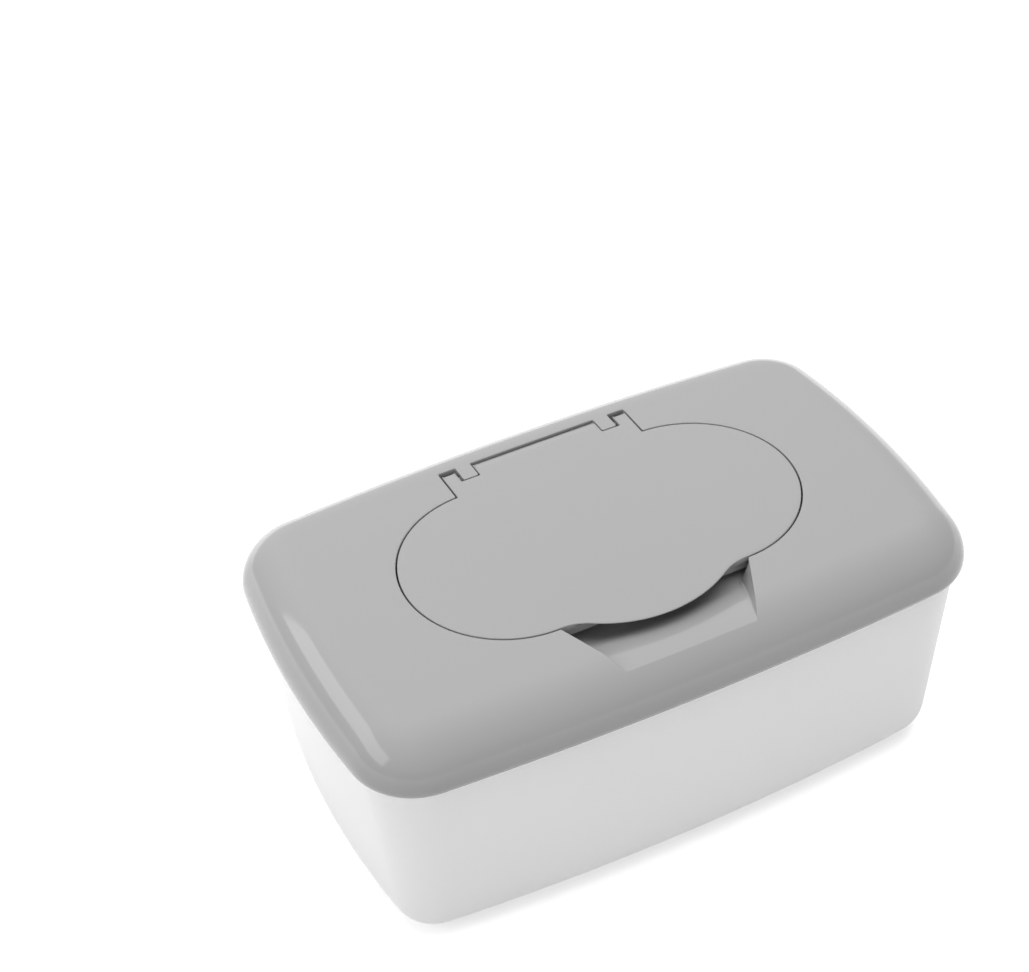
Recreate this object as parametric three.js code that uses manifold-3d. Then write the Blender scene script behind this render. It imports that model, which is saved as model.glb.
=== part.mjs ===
// A wet wipes box: a see-through tub, a lid that snaps over its rim, and a hinged flap that lies
// flush in the lid. Millimetres, X along the box, Y across it, +Z up. The origin is the middle of
// the underside, and the flap's thumb tab is on the -Y side.
import * as THREE from "three";
import { mergeVertices } from "three/addons/utils/BufferGeometryUtils.js";
import Module from "manifold-3d";

// Lid, measured over its widest outline.
const lidLength = 210;
const lidWidth = 126;
const lidHeight = 19.4; // from its lower edge to the top of the crown
const lidCornerRadius = 21.5;
const lidLongSideRadius = 1240; // the sides bow outward in plan
const lidShortSideRadius = 320;
const lidWall = 2;
const crownDropAcross = 2.3; // how far the top falls from the middle to a long side
const crownDropAlong = 1.4; // and to a short side
const shoulderReach = 15; // how far in from the side the rounded shoulder runs
const shoulderSquareness = 1.92; // exponent of the shoulder's curve, 2 being an ellipse
const lipHeight = 2.4; // the lower edge turns under over this height
const lipInset = 1.3; // and by this much

// Tub, given at its widest, under the lid's lower edge.
const tubHeight = 79;
const tubOverhang = 2.6; // the lid stands out this far past the tub
const tubTaperEnds = 6.4; // each end is this much further in at the table
const tubTaperSides = 4.5; // and each long side this much
const tubWall = 1.8;
const tubFloor = 1.8;
const tubFootCornerRadius = 13;
const tubFootLongSideRadius = 842;
const tubFootShortSideRadius = 284;
const tubFootRound = 12; // rounding between the walls and the underside
const footRingWidth = 4;
const footRingHeight = 0.8;
const footRecessCorner = 1;

// How the lid sits on the tub.
const skirtOverlap = 6.4; // the lid's lower edge hangs this far below the tub's rim
const seatGap = 0.3; // between the tub's rim and the seat in the lid
const locatingGap = 0.4; // between the tub's wall and the lid's inner ring
const locatingWall = 1.4;
const locatingDepth = 3.7; // the inner ring reaches this far below the seat
const tubBeadProud = 0.25; // snap beads, kept just clear of each other
const tubBeadDrop = 2.4; // from the rim to the middle of the tub's bead
const lidBeadProud = 0.2;
const lidBeadDrop = 4.6; // from the rim to the middle of the lid's bead
const beadHalfHeight = 0.8;
const beadFlat = 0.2; // half the height of a bead's flat crest

// Flap and the recess it lies in.
const flapEndMargin = 40; // from the lid's ends to the flap's racetrack outline
const flapSideMargin = 29.6; // from the lid's long sides to it
const flapForward = 0.5; // the racetrack's centre lies this far to the front
const flapGap = 0.5; // all round between the flap and the lid
const flapThickness = 2;
const skirtInset = 1; // from the flap's edge to its underside skirt
const skirtThickness = 1.4;
const skirtDepth = 4.6; // below the flap's underside
const tabReach = 9; // how far the thumb tab stands out of the racetrack
const tabRadius = 42;
const tabBlendRadius = 17;
const recessDepth = 9; // from the top of the crown to the trench floor
const collarMargin = 7; // from the racetrack's outline to the collar's outside
const collarThickness = 1.8;
const collarClearance = 0.5; // from the collar's top to the flap's underside
const latchWidth = 12;
const latchThickness = 1.2;
const latchDepth = 3.4;
const latchGap = 0.3; // between the latch rib and the collar

// Thumb scoop in front of the tab: a ramp with leaning side walls.
const scoopHalfWidthAtFlap = 30.7;
const scoopHalfWidthAtRim = 21.8;
const scoopRimInset = 7; // where the ramp runs out on the lid's shoulder
const scoopRimDrop = 4.1; // and how far below the crown's top that is
const scoopRampStart = 2.1; // from the racetrack's front edge to the foot of the ramp
const scoopWallLean = 2.5;

// Hinge at the back of the flap.
const hingeSetback = 20; // from the lid's rear edge to the hinge axis
const hingeDepth = 3.1; // from the top surface to the axis, and the radius of the knuckles
const pinRadius = 1.5;
const pinGap = 0.3;
const hookMouth = 2.7; // the hooks' open side is narrower than a pin
const hookWall = 1.3;
const hookWidth = 5.1;
const notchStart = 21.6; // from the box's middle to the notch that a hook fills
const notchWidth = 6.5;
const notchSideGap = 0.35; // beside the hook, on the side of the box's middle
const fingerWidth = 4.4; // the outer finger beyond each notch
const fingerShortening = 0.5; // the fingers stop short of the tail's rear edge
const tailRearGap = 0.5;
const fingerRearGap = 1.1;
const tailSkin = 1.6;
const tailRibWidth = 2.4;

// Fineness of the curves.
const longSideSteps = 7; // in a quarter of an outline
const cornerSteps = 6;
const shortSideSteps = 4;
const shoulderSteps = 7;
const lipSteps = 3;
const footSteps = 5;
const roundSteps = 10; // in a quarter circle of a racetrack's end
const smallRoundSteps = 16; // round a hinge pin
const crownSteps = 14; // along the crown, and about two thirds of that across
const crownRings = 3;

// Heights and places that follow.
const lidBottom = tubHeight - skirtOverlap;
const crownTop = lidBottom + lidHeight;
const shoulderBase = lidBottom + lipHeight;
const seatHeight = tubHeight + seatGap;
const recessFloor = crownTop - recessDepth;
const flapHalfLength = lidLength / 2 - flapEndMargin;
const flapRadius = lidWidth / 2 - flapSideMargin;
const flapFront = -flapRadius - flapForward;
const hingeY = lidWidth / 2 - hingeSetback;
const hingeZ = crownHeight(0, hingeY) - hingeDepth;
const notchEnd = notchStart + notchWidth;
const fingerEnd = notchEnd + fingerWidth;
const tailRear = hingeY + hingeDepth;
const hookFront = hingeY - pinRadius - pinGap - hookWall;
const far = lidLength; // cutting bodies reach this far out of the part
const past = 1; // or just past a face

const lidForm = {
  halfLength: lidLength / 2,
  halfWidth: lidWidth / 2,
  corner: lidCornerRadius,
  longSide: lidLongSideRadius,
  shortSide: lidShortSideRadius,
};
const tubTopForm = insetForm(lidForm, tubOverhang);
const tubFootForm = {
  halfLength: lidLength / 2 - tubOverhang - tubTaperEnds,
  halfWidth: lidWidth / 2 - tubOverhang - tubTaperSides,
  corner: tubFootCornerRadius,
  longSide: tubFootLongSideRadius,
  shortSide: tubFootShortSideRadius,
};

const wasm = await Module();
wasm.setup();

// The height of the lid's crowned top, a shallow dome that the flap shares.
function crownHeight(x, y) {
  const across = crownDropAcross * (y / (lidWidth / 2)) ** 2;
  const along = crownDropAlong * (x / (lidLength / 2)) ** 2;
  return crownTop - across - along;
}

// A closed geometry as a solid.
function solidOf(geometry) {
  const bare = geometry.clone();
  bare.deleteAttribute("normal");
  bare.deleteAttribute("uv");
  const merged = mergeVertices(bare, 1e-4);
  return new wasm.Manifold(
    new wasm.Mesh({
      numProp: 3,
      vertProperties: merged.attributes.position.array,
      triVerts: new Uint32Array(merged.index.array),
    }),
  );
}

// A solid as a geometry again.
function geometryOf(solid) {
  const mesh = solid.getMesh();
  const geometry = new THREE.BufferGeometry();
  geometry.setAttribute("position", new THREE.BufferAttribute(mesh.vertProperties, 3));
  geometry.setIndex(new THREE.BufferAttribute(mesh.triVerts, 1));
  const faceted = geometry.toNonIndexed();
  faceted.computeVertexNormals();
  return faceted;
}

// All solids joined into one.
function join(...solids) {
  return solids.reduce((whole, piece) => whole.add(piece));
}

// A solid less its cutters.
function cut(solid, ...cutters) {
  return cutters.reduce((rest, cutter) => rest.subtract(cutter), solid);
}

// The same solid on the other side of the box's middle.
function mirrored(solid) {
  return solid.mirror([1, 0, 0]);
}

// Points of an arc in a plane, both ends included.
function arc(centreX, centreY, radius, startAngle, endAngle, steps) {
  const curve = new THREE.EllipseCurve(
    centreX, centreY, radius, radius, startAngle, endAngle, endAngle < startAngle,
  );
  return curve.getPoints(steps);
}

// An outline's sizes, moved inward all round.
function insetForm(form, inset) {
  return {
    halfLength: form.halfLength - inset,
    halfWidth: form.halfWidth - inset,
    corner: form.corner - inset,
    longSide: form.longSide - inset,
    shortSide: form.shortSide - inset,
  };
}

// A rectangle whose four sides are long arcs, joined by corner arcs that are tangent to both.
function bowedOutline(form) {
  const { halfLength, halfWidth, corner, longSide, shortSide } = form;
  const longCentre = new THREE.Vector2(0, halfWidth - longSide);
  const shortCentre = new THREE.Vector2(halfLength - shortSide, 0);
  // The corner's centre lies longSide - corner and shortSide - corner from the sides' centres.
  const toLong = longSide - corner;
  const toShort = shortSide - corner;
  const between = shortCentre.clone().sub(longCentre);
  const distance = between.length();
  const alongLine = (distance ** 2 + toLong ** 2 - toShort ** 2) / (2 * distance);
  const offLine = Math.sqrt(toLong ** 2 - alongLine ** 2);
  between.normalize();
  const cornerCentre = longCentre.clone().addScaledVector(between, alongLine);
  cornerCentre.x += between.y * offLine;
  cornerCentre.y -= between.x * offLine;
  const longEnd = cornerCentre.clone().sub(longCentre).angle();
  const shortEnd = cornerCentre.clone().sub(shortCentre).angle();
  const quarter = [
    ...arc(shortCentre.x, 0, shortSide, 0, shortEnd, shortSideSteps),
    ...arc(cornerCentre.x, cornerCentre.y, corner, shortEnd, longEnd, cornerSteps).slice(1),
    ...arc(0, longCentre.y, longSide, longEnd, Math.PI / 2, longSideSteps).slice(1),
  ];
  const left = quarter.slice(0, -1).reverse().map((p) => new THREE.Vector2(-p.x, p.y));
  const half = [...quarter, ...left];
  const lower = half.slice(1, -1).reverse().map((p) => new THREE.Vector2(p.x, -p.y));
  return [...half, ...lower];
}

// A closed body through rings of equally many points, from the lowest ring to the highest.
function stack(rings) {
  const count = rings[0].length;
  const positions = rings.flat().flatMap((p) => [p.x, p.y, p.z]);
  const index = [];
  for (let ring = 0; ring < rings.length - 1; ring += 1) {
    for (let i = 0; i < count; i += 1) {
      const next = (i + 1) % count;
      const low = ring * count;
      const high = low + count;
      index.push(low + i, low + next, high + next);
      index.push(low + i, high + next, high + i);
    }
  }
  const lastRing = (rings.length - 1) * count;
  for (const [ring, first] of [[rings[0], 0], [rings.at(-1), lastRing]]) {
    const middle = ring.reduce((sum, p) => sum.add(p), new THREE.Vector3());
    middle.divideScalar(count);
    const hub = positions.length / 3;
    positions.push(middle.x, middle.y, middle.z);
    for (let i = 0; i < count; i += 1) {
      const next = (i + 1) % count;
      if (first === 0) index.push(hub, next, i);
      else index.push(hub, first + i, first + next);
    }
  }
  const geometry = new THREE.BufferGeometry();
  geometry.setAttribute("position", new THREE.Float32BufferAttribute(positions, 3));
  geometry.setIndex(index);
  return solidOf(geometry);
}

// A flat ring of an outline's points at one height.
function ringAt(points, z) {
  return points.map((p) => new THREE.Vector3(p.x, p.y, z));
}

// An upright prism on an outline given by its points.
function prism(points, zLow, zHigh) {
  const shape = new THREE.Shape(points);
  const geometry = new THREE.ExtrudeGeometry(shape, { depth: zHigh - zLow, bevelEnabled: false });
  geometry.translate(0, 0, zLow);
  return solidOf(geometry);
}

// A prism along X, on a section whose points are given as (y, z).
function bar(section, xLow, xHigh) {
  const shape = new THREE.Shape(section);
  const geometry = new THREE.ExtrudeGeometry(shape, { depth: xHigh - xLow, bevelEnabled: false });
  const turn = new THREE.Matrix4().makeBasis(
    new THREE.Vector3(0, 1, 0),
    new THREE.Vector3(0, 0, 1),
    new THREE.Vector3(1, 0, 0),
  );
  geometry.applyMatrix4(turn);
  geometry.translate(xLow, 0, 0);
  return solidOf(geometry);
}

function block(xLow, xHigh, yLow, yHigh, zLow, zHigh) {
  const geometry = new THREE.BoxGeometry(xHigh - xLow, yHigh - yLow, zHigh - zLow);
  geometry.translate((xLow + xHigh) / 2, (yLow + yHigh) / 2, (zLow + zHigh) / 2);
  return solidOf(geometry);
}

// A round bar on the hinge axis.
function hingeBar(radius, xLow, xHigh) {
  const circle = arc(hingeY, hingeZ, radius, 0, 2 * Math.PI, smallRoundSteps).slice(0, -1);
  return bar(circle, xLow, xHigh);
}

// A racetrack outline about the flap's centre.
function racetrack(halfLength, radius) {
  const straight = halfLength - radius;
  const quarter = Math.PI / 2;
  return [
    ...arc(straight, -flapForward, radius, -quarter, quarter, 2 * roundSteps),
    ...arc(-straight, -flapForward, radius, quarter, 3 * quarter, 2 * roundSteps),
  ];
}

// The flap's racetrack, moved inward all round.
function flapRacetrack(inset) {
  return racetrack(flapHalfLength - inset, flapRadius - inset);
}

// Everything below the crowned top, sunk by a depth.
function underCrown(sunk) {
  const acrossSteps = 2 * Math.round(crownSteps / 3);
  const geometry = new THREE.BoxGeometry(lidLength, lidWidth, 1, crownSteps, acrossSteps, 1);
  const places = geometry.attributes.position;
  for (let i = 0; i < places.count; i += 1) {
    const top = crownHeight(places.getX(i), places.getY(i)) - sunk;
    places.setZ(i, places.getZ(i) > 0 ? top : 0);
  }
  return solidOf(geometry);
}

// The lid's outer form, or the same form moved inward by a wall.
function lidBody(wall) {
  const rings = [];
  if (wall > 0) {
    rings.push(ringAt(bowedOutline(insetForm(lidForm, wall)), 0));
  } else {
    for (let i = lipSteps; i > 0; i -= 1) {
      const angle = (i / lipSteps) * (Math.PI / 2);
      const inset = lipInset * (1 - Math.cos(angle));
      const z = shoulderBase - lipHeight * Math.sin(angle);
      rings.push(ringAt(bowedOutline(insetForm(lidForm, inset)), z));
    }
  }
  const power = 2 / shoulderSquareness;
  const reach = shoulderReach - wall;
  for (let i = 0; i <= shoulderSteps; i += 1) {
    const angle = (i / shoulderSteps) * (Math.PI / 2);
    const inset = wall + reach * (1 - Math.max(Math.cos(angle), 0) ** power);
    const rise = Math.sin(angle) ** power;
    const outline = bowedOutline(insetForm(lidForm, inset));
    rings.push(outline.map((p) => {
      const top = crownHeight(p.x, p.y) - wall;
      return new THREE.Vector3(p.x, p.y, shoulderBase + (top - shoulderBase) * rise);
    }));
  }
  const shoulderTop = rings.at(-1);
  for (let i = crownRings; i > 0; i -= 1) {
    const share = i / (crownRings + 1);
    rings.push(shoulderTop.map((p) => {
      const x = p.x * share;
      const y = p.y * share;
      return new THREE.Vector3(x, y, crownHeight(x, y) - wall);
    }));
  }
  return stack(rings);
}

// The tub's outer form, or the same form moved inward by a wall from a floor height.
function tubBody(wall, floor, top) {
  const rings = [];
  const foot = bowedOutline(tubFootForm);
  const straightTop = lidBottom;
  const reach = bowedOutline(tubTopForm).map((p, i) => p.clone().sub(foot[i]));
  const ring = (inset, z) => {
    const leaning = Math.min(z / straightTop, 1);
    const outline = bowedOutline(insetForm(tubFootForm, inset));
    const places = outline.map((p, i) => p.addScaledVector(reach[i], leaning));
    rings.push(ringAt(places, z));
  };
  const round = tubFootRound - wall;
  for (let i = 0; i <= footSteps; i += 1) {
    const angle = (i / footSteps) * (Math.PI / 2);
    ring(wall + round * (1 - Math.sin(angle)), floor + round * (1 - Math.cos(angle)));
  }
  ring(wall, straightTop);
  ring(wall, top);
  return stack(rings);
}

// A low ridge round an outline, at a height, standing proud of it.
function bead(form, proud, middle) {
  const crest = bowedOutline(insetForm(form, -proud));
  const root = bowedOutline(insetForm(form, beadHalfHeight - beadFlat - proud));
  return stack([
    ringAt(root, middle - beadHalfHeight),
    ringAt(crest, middle - beadFlat),
    ringAt(crest, middle + beadFlat),
    ringAt(root, middle + beadHalfHeight),
  ]);
}

function makeTub() {
  const shell = join(
    tubBody(0, 0, tubHeight),
    bead(tubTopForm, tubBeadProud, tubHeight - tubBeadDrop),
  );
  const hollow = tubBody(tubWall, footRingHeight + tubFloor, tubHeight + past);
  const foot = {
    ...insetForm(tubFootForm, tubFootRound + footRingWidth),
    corner: footRecessCorner,
  };
  const recess = prism(bowedOutline(foot), -past, footRingHeight);
  return cut(shell, hollow, recess);
}

// The ring inside the tub's rim, with the seat that rests on the rim.
function seatRing() {
  const ringInset = tubOverhang + tubWall + locatingGap;
  const outside = prism(bowedOutline(insetForm(lidForm, lidWall)), seatHeight, crownTop);
  const ring = prism(
    bowedOutline(insetForm(lidForm, ringInset)),
    seatHeight - locatingDepth,
    crownTop,
  );
  const inside = prism(
    bowedOutline(insetForm(lidForm, ringInset + locatingWall)),
    0,
    crownTop + past,
  );
  return cut(join(outside, ring), inside);
}

// The scoop's space: a fan that narrows to the rim, with leaning side walls and a ramp for a
// floor. A margin makes the same form larger, for the wall round it.
function scoopSpace(margin) {
  const back = flapFront + collarMargin / 2;
  const flapLine = flapFront - scoopRampStart;
  const rimLine = -lidWidth / 2 + scoopRimInset;
  const narrowing = (scoopHalfWidthAtFlap - scoopHalfWidthAtRim) / (flapLine - rimLine);
  const front = -lidWidth / 2;
  const fan = (narrower) => {
    const atFront = scoopHalfWidthAtRim - narrowing * (rimLine - front) - narrower + margin;
    const atBack = scoopHalfWidthAtRim + narrowing * (back - rimLine) - narrower + margin;
    return [[-atFront, front], [atFront, front], [atBack, back], [-atBack, back]]
      .map(([x, y]) => new THREE.Vector2(x, y));
  };
  const leaning = stack([
    ringAt(fan(2 * scoopWallLean), recessFloor - recessDepth),
    ringAt(fan(0), crownTop),
    ringAt(fan(0), crownTop + recessDepth),
  ]);
  const rampRise = recessDepth - scoopRimDrop;
  const slope = rampRise / (flapLine - rimLine);
  const floor = recessFloor - margin;
  const rampEnd = floor + rampRise + slope * (rimLine - front);
  const aboveRamp = bar([
    new THREE.Vector2(back, floor),
    new THREE.Vector2(back, far),
    new THREE.Vector2(front - past, far),
    new THREE.Vector2(front - past, rampEnd),
    new THREE.Vector2(flapLine, floor),
  ].reverse(), -far, far);
  return leaning.intersect(aboveRamp);
}

// The space that the flap's tail turns in. It is wider behind the fingers than in the middle.
function hingePocket(margin) {
  const side = fingerEnd + flapGap + margin;
  const split = notchStart + notchWidth / 2;
  const front = flapRadius - flapForward - collarMargin / 2;
  const floor = recessFloor - margin;
  const middleRear = tailRear + tailRearGap + margin;
  const fingerRear = tailRear - fingerShortening + fingerRearGap + margin;
  const fingerSpace = block(split - margin, side, front, fingerRear, floor, far);
  return join(
    block(-split - margin, split + margin, front, middleRear, floor, far),
    fingerSpace,
    mirrored(fingerSpace),
  );
}

// One of the two hooks that hold the flap's pins, flush with the lid's top.
function makeHook() {
  const start = notchStart + notchSideGap;
  const end = start + hookWidth;
  const rear = tailRear + fingerRearGap + lidWall;
  const slotRadius = pinRadius + pinGap;
  const halfMouth = hookMouth / 2;
  const low = start - past;
  const high = end + past;
  return cut(
    block(start, end, hookFront, rear, hingeZ - slotRadius, far),
    hingeBar(slotRadius, low, high),
    block(low, high, hingeY - halfMouth, hingeY + halfMouth, 0, hingeZ),
  );
}

function makeLid() {
  const outer = lidBody(0);
  const bowl = join(
    prism(flapRacetrack(-flapGap - lidWall), recessFloor - lidWall, far),
    scoopSpace(lidWall),
    hingePocket(lidWall),
  );
  const shell = cut(outer, lidBody(lidWall));
  const filled = join(shell, join(seatRing(), bowl).intersect(outer));
  const rimSpace = cut(
    prism(bowedOutline(insetForm(lidForm, lidWall)), 0, seatHeight),
    prism(
      bowedOutline(insetForm(lidForm, tubOverhang + tubWall + locatingGap)),
      -past,
      seatHeight + past,
    ),
  );
  const collarInset = collarMargin + collarThickness;
  const collarTop = crownHeight(0, flapRadius - collarMargin) - flapThickness - collarClearance;
  const collar = prism(flapRacetrack(collarMargin), recessFloor - lidWall / 2, collarTop);
  const open = cut(
    filled,
    rimSpace,
    prism(flapRacetrack(-flapGap), recessFloor, far),
    scoopSpace(0),
    hingePocket(0),
  );
  const snapBead = cut(
    prism(
      bowedOutline(insetForm(lidForm, lidWall / 2)),
      tubHeight - lidBeadDrop - beadHalfHeight,
      tubHeight - lidBeadDrop + beadHalfHeight,
    ),
    stack(lidBeadHollow()),
  );
  const hook = makeHook();
  const hooks = join(hook, mirrored(hook)).intersect(outer);
  const opening = prism(flapRacetrack(collarInset), 0, far);
  return cut(join(open, collar, hooks, snapBead), opening);
}

// The space inside the lid's snap bead, waisted at the bead's crest.
function lidBeadHollow() {
  const middle = tubHeight - lidBeadDrop;
  const wide = bowedOutline(insetForm(lidForm, lidWall));
  const waist = bowedOutline(insetForm(lidForm, lidWall + lidBeadProud));
  return [
    ringAt(wide, middle - beadHalfHeight - past),
    ringAt(wide, middle - beadHalfHeight),
    ringAt(waist, middle - beadFlat),
    ringAt(waist, middle + beadFlat),
    ringAt(wide, middle + beadHalfHeight),
    ringAt(wide, middle + beadHalfHeight + past),
  ];
}

// The flap's outline: a racetrack with a thumb tab, an arc joined on by two hollow arcs.
function flapOutline() {
  const quarter = Math.PI / 2;
  const straight = flapHalfLength - flapRadius;
  const tabCentreY = flapFront - tabReach + tabRadius;
  const blendCentreY = flapFront - tabBlendRadius;
  const centreDistance = tabRadius + tabBlendRadius;
  const blendCentreX = Math.sqrt(centreDistance ** 2 - (tabCentreY - blendCentreY) ** 2);
  const turn = Math.atan2(blendCentreX, tabCentreY - blendCentreY);
  const right = [
    ...arc(0, tabCentreY, tabRadius, -quarter, -quarter + turn, roundSteps),
    ...arc(blendCentreX, blendCentreY, tabBlendRadius, quarter + turn, quarter, roundSteps)
      .slice(1),
    ...arc(straight, -flapForward, flapRadius, -quarter, quarter, 2 * roundSteps).slice(1),
  ];
  const left = right.slice(1).reverse().map((p) => new THREE.Vector2(-p.x, p.y));
  return [...right, ...left];
}

// The flap's tail: a plate that curls down round the hinge axis, split by the two notches.
function makeTail() {
  const quarter = Math.PI / 2;
  const curlEnd = -quarter / 2;
  const inner = hingeDepth - tailSkin;
  const curl = [
    ...arc(hingeY, hingeZ, hingeDepth, quarter, curlEnd, roundSteps),
    ...arc(hingeY, hingeZ, inner, curlEnd, quarter, roundSteps),
  ].reverse();
  const cheek = hingeBar(hingeDepth, notchStart - tailRibWidth, notchStart);
  const finger = cut(
    hingeBar(hingeDepth, notchEnd, fingerEnd),
    block(notchEnd - past, fingerEnd + past, tailRear - fingerShortening, far, 0, far),
  );
  const pin = hingeBar(pinRadius, notchStart - tailRibWidth / 2, notchEnd + fingerWidth / 2);
  const rib = hingeBar(hingeDepth, -tailRibWidth / 2, tailRibWidth / 2);
  return join(
    bar(curl, -notchStart, notchStart),
    rib,
    cheek,
    mirrored(cheek),
    finger,
    mirrored(finger),
    pin,
    mirrored(pin),
  );
}

// The notch for a hook, with a hollow front wall that swings clear of the hook's front corner.
function notchSpace() {
  const sweep = Math.hypot(hingeY - hookFront, hingeDepth) + pinGap;
  return join(
    hingeBar(sweep, notchStart, notchEnd),
    block(notchStart, notchEnd, hingeY, far, 0, far),
  );
}

function makeFlap() {
  const plateBody = cut(underCrown(0), underCrown(flapThickness));
  const tailPlate = block(-fingerEnd, fingerEnd, 0, hingeY, 0, far);
  const notch = notchSpace();
  const plan = join(prism(flapOutline(), 0, far), tailPlate);
  const plate = cut(plateBody.intersect(plan), notch, mirrored(notch));
  const skirtBottom = crownTop - flapThickness - skirtDepth;
  const skirt = cut(
    prism(flapRacetrack(skirtInset), skirtBottom, crownTop),
    prism(flapRacetrack(skirtInset + skirtThickness), 0, far),
  );
  const collarFront = flapFront + collarMargin;
  const latch = block(
    -latchWidth / 2,
    latchWidth / 2,
    collarFront - latchGap - latchThickness,
    collarFront - latchGap,
    crownTop - flapThickness - latchDepth,
    crownTop,
  );
  const below = underCrown(flapThickness / 2);
  const underParts = join(skirt, latch).intersect(below);
  const tail = makeTail().intersect(underCrown(0));
  return join(plate, underParts, tail);
}

const tubMaterial = new THREE.MeshStandardMaterial({
  color: 0xf1f2f2,
  roughness: 0.42,
  metalness: 0,
});
const lidMaterial = new THREE.MeshStandardMaterial({
  color: 0xbdbdbd,
  roughness: 0.3,
  metalness: 0,
});
const flapMaterial = lidMaterial.clone();

function piece(name, solid, material) {
  const mesh = new THREE.Mesh(geometryOf(solid), material);
  mesh.name = name;
  return mesh;
}

const wipesBox = new THREE.Group();
wipesBox.add(piece("tub", makeTub(), tubMaterial));
wipesBox.add(piece("lid", makeLid(), lidMaterial));
wipesBox.add(piece("flap", makeFlap(), flapMaterial));

export default wipesBox;
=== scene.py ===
"""Looks of a wet wipes box: a milky tub, a glossy grey lid and the flap that lies flush in it.

Sizes in the classes are millimetres, and meshes are made in metres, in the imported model's frame.
"""

import logging
import math
from dataclasses import astuple, dataclass, replace
from enum import Enum

import bmesh
import bpy
import numpy as np
from mathutils import Matrix, Vector


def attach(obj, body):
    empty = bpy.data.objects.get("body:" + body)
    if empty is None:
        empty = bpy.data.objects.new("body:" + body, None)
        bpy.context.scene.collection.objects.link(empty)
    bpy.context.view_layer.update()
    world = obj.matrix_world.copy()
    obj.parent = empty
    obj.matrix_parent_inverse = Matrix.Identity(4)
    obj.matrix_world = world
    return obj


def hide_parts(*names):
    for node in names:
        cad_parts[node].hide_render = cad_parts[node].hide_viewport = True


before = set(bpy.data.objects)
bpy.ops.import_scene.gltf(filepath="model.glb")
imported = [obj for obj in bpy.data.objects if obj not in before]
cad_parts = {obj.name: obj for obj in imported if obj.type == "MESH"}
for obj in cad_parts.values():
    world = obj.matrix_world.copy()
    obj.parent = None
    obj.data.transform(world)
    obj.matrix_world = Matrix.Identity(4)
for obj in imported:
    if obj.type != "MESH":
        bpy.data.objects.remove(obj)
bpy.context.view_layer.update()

logging.basicConfig(level=logging.INFO, format="%(message)s")
log = logging.getLogger("wipes_box")
Array = np.ndarray
Span = tuple[float, float]
Place = tuple[float, float, float]
Keys = list[Span]
Loops = dict[str, Array]
Piece = bpy.types.Object
Tree = bpy.types.NodeTree
Socket = bpy.types.NodeSocket
METRES = 0.001
NEARLY_A_POINT = 1e-6
SHARP_ANGLE = math.radians(29)
QUARTER = math.pi / 2


class Body(Enum):
    """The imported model's bodies, each of one node with the same name."""

    TUB = "tub"
    LID = "lid"
    FLAP = "flap"


@dataclass(frozen=True)
class Outline:
    """A rectangle with bowed sides: long arcs joined by corner arcs that are tangent to both."""

    half_length: float = 105.0
    half_width: float = 63.0
    corner: float = 21.5
    long_side: float = 1240.0
    short_side: float = 320.0

    def inset(self, by: float) -> "Outline":
        """The same outline moved inward all round."""
        return Outline(*(size - by for size in astuple(self)))

    def corner_centre(self) -> Array:
        """The centre of the corner arc, where circles about the two side centres cross."""
        low = np.array([0.0, self.half_width - self.long_side])
        side = np.array([self.half_length - self.short_side, 0.0])
        to_low, to_side = self.long_side - self.corner, self.short_side - self.corner
        between = side - low
        distance = float(np.hypot(*between))
        along = (distance**2 + to_low**2 - to_side**2) / (2 * distance)
        off = math.sqrt(to_low**2 - along**2)
        unit = between / distance
        return low + unit * along + np.array([unit[1], -unit[0]]) * off

    def at(self, share: Array) -> tuple[Array, Array]:
        """Points and outward normals at shares of the way round.

        A quarter runs from a long side's middle to a short side's, its normal turning steadily on
        each of the three arcs, and the other quarters are its mirror images.

        Args:
            share: places from 0 to 1, from the front's middle towards +X.

        Returns:
            The points and the unit normals, both as (n, 2).
        """
        centre = self.corner_centre()
        first = math.atan2(centre[0], centre[1] - (self.half_width - self.long_side))
        last = math.atan2(centre[0] - (self.half_length - self.short_side), centre[1])
        lengths = np.array(
            [self.long_side * first, self.corner * (last - first), self.short_side * (QUARTER - last)]
        )
        whole = lengths.sum()
        turn = (np.asarray(share, float) % 1.0) * 4
        quarter = np.minimum(turn.astype(int), 3)
        part = (turn - quarter) * whole
        part = np.where(quarter % 2 == 0, part, whole - part)
        stops = np.concatenate([[0.0], np.cumsum(lengths)])
        angle = np.interp(part, stops, [0.0, first, last, QUARTER])
        normal = np.stack([np.sin(angle), np.cos(angle)], 1)
        on_long, on_corner = part <= stops[1], part <= stops[2]
        radius = np.where(on_long, self.long_side, np.where(on_corner, self.corner, self.short_side))
        middle = np.where(
            on_long[:, None],
            [0.0, self.half_width - self.long_side],
            np.where(on_corner[:, None], centre, [self.half_length - self.short_side, 0.0]),
        )
        point = middle + normal * radius[:, None]
        signs = np.array([[1, -1], [1, 1], [-1, 1], [-1, -1]])[quarter]
        return point * signs, normal * signs

    def depth(self, x: Array, y: Array) -> Array:
        """How far inside the outline a point lies: each arc's radius less the way to its centre."""
        px, py = np.abs(x), np.abs(y)
        centre = self.corner_centre()
        low_y, side_x = self.half_width - self.long_side, self.half_length - self.short_side
        to_long = self.long_side - np.hypot(px, py - low_y)
        to_side = self.short_side - np.hypot(px - side_x, py)
        to_corner = self.corner - np.hypot(px - centre[0], py - centre[1])
        past_long = px * (centre[1] - low_y) > (py - low_y) * centre[0]
        past_side = py * (centre[0] - side_x) > (px - side_x) * centre[1]
        return np.where(past_long & past_side, to_corner, np.minimum(to_long, to_side))


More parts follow.
